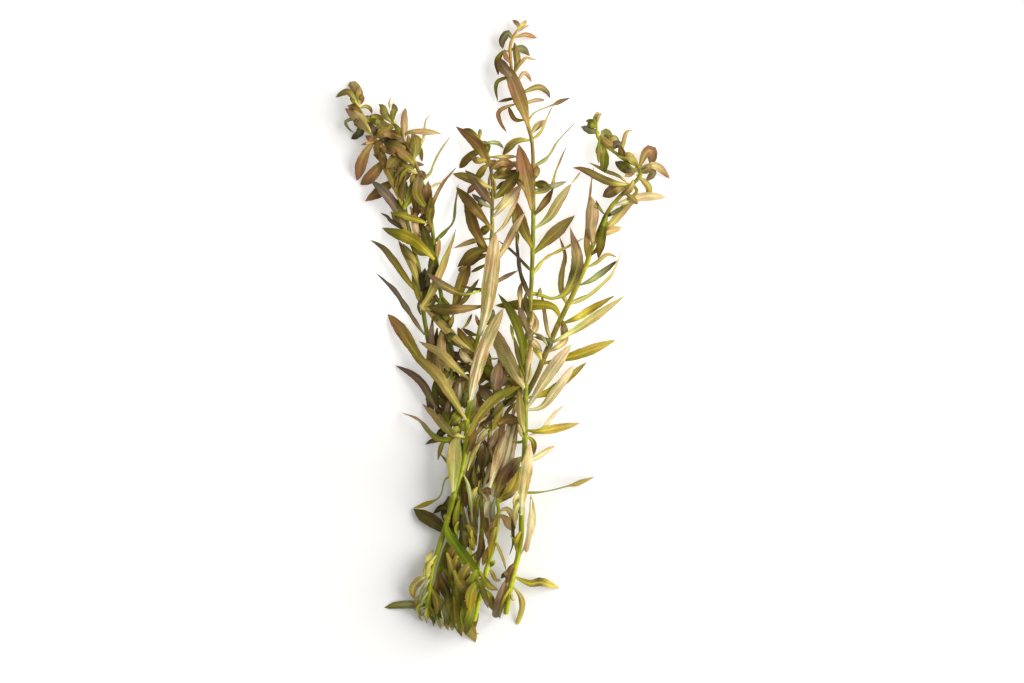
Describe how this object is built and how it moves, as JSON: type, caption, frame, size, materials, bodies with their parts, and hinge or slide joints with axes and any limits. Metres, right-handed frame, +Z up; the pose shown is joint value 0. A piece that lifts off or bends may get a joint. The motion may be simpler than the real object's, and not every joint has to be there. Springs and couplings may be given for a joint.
{
  "type": "bunch of ludwigia stems",
  "caption": "Cut bunch of narrow-leaved ludwigia lying flat: leafy stems gathered at their cut ends and fanned out towards their tips.",
  "frame": {"origin": "middle of the bunch's outline, on the surface that it lies on", "axes": "+Y from the cut ends towards the stem tips, +X to the right seen from above, +Z up from the surface"},
  "size_m": [0.1408, 0.2624, 0.0192],
  "materials": {
    "stem": "smooth, slightly translucent yellow-green plant stem with small side leaves fused on",
    "leaf_pale": "thin matt leaf, pale tan underside with a light midrib",
    "leaf_khaki": "thin matt leaf, khaki",
    "leaf_olive": "thin matt leaf, olive with a brown tip",
    "leaf_mustard": "thin matt leaf, mustard green",
    "leaf_copper": "thin matt leaf, copper brown with a pink tip",
    "leaf_pink": "thin matt leaf, pinkish tan",
    "leaf_purple": "thin matt leaf, purple brown",
    "leaf_green": "thin matt leaf, fresh green",
    "leaf_grey": "thin matt leaf, grey green"
  },
  "bodies": {
    "root": {"stem_left": "stem", "stem_back": "stem", "stem_middle": "stem", "stem_short": "stem", "side_shoot": "stem", "stem_tall": "stem", "stem_front": "stem", "leaf_left_01": "leaf_purple", "leaf_left_02": "leaf_purple", "leaf_left_03": "leaf_copper", "leaf_left_04": "leaf_grey", "leaf_left_05": "leaf_copper", "leaf_left_06": "leaf_purple", "leaf_left_07": "leaf_khaki", "leaf_left_08": "leaf_copper", "leaf_back_01": "leaf_olive", "leaf_back_02": "leaf_copper", "leaf_back_03": "leaf_mustard", "leaf_back_04": "leaf_mustard", "leaf_back_05": "leaf_pale", "leaf_back_06": "leaf_olive", "leaf_middle_01": "leaf_khaki", "leaf_middle_02": "leaf_pink", "leaf_short_01": "leaf_copper", "leaf_short_02": "leaf_mustard", "leaf_short_03": "leaf_purple", "leaf_shoot_01": "leaf_mustard", "leaf_shoot_02": "leaf_pale", "leaf_shoot_03": "leaf_mustard", "leaf_shoot_04": "leaf_copper", "leaf_shoot_05": "leaf_copper", "leaf_shoot_06": "leaf_pale", "leaf_tall_01": "leaf_pale", "leaf_tall_02": "leaf_olive", "leaf_tall_03": "leaf_mustard", "leaf_tall_04": "leaf_pale", "leaf_tall_05": "leaf_mustard", "leaf_tall_06": "leaf_mustard", "leaf_tall_07": "leaf_pale", "leaf_tall_08": "leaf_pale", "leaf_tall_09": "leaf_khaki", "leaf_tall_10": "leaf_green", "leaf_tall_11": "leaf_olive", "leaf_tall_12": "leaf_olive", "leaf_tall_13": "leaf_khaki", "leaf_tall_14": "leaf_copper", "leaf_tall_15": "leaf_copper", "leaf_front_01": "leaf_green", "leaf_front_02": "leaf_pale", "leaf_front_03": "leaf_khaki", "leaf_front_04": "leaf_khaki", "leaf_front_05": "leaf_khaki", "leaf_front_06": "leaf_khaki", "leaf_front_07": "leaf_olive", "leaf_front_08": "leaf_pale", "leaf_front_09": "leaf_mustard", "leaf_front_10": "leaf_olive", "leaf_front_11": "leaf_copper", "leaf_front_12": "leaf_pale"}
  },
  "joints": []
}
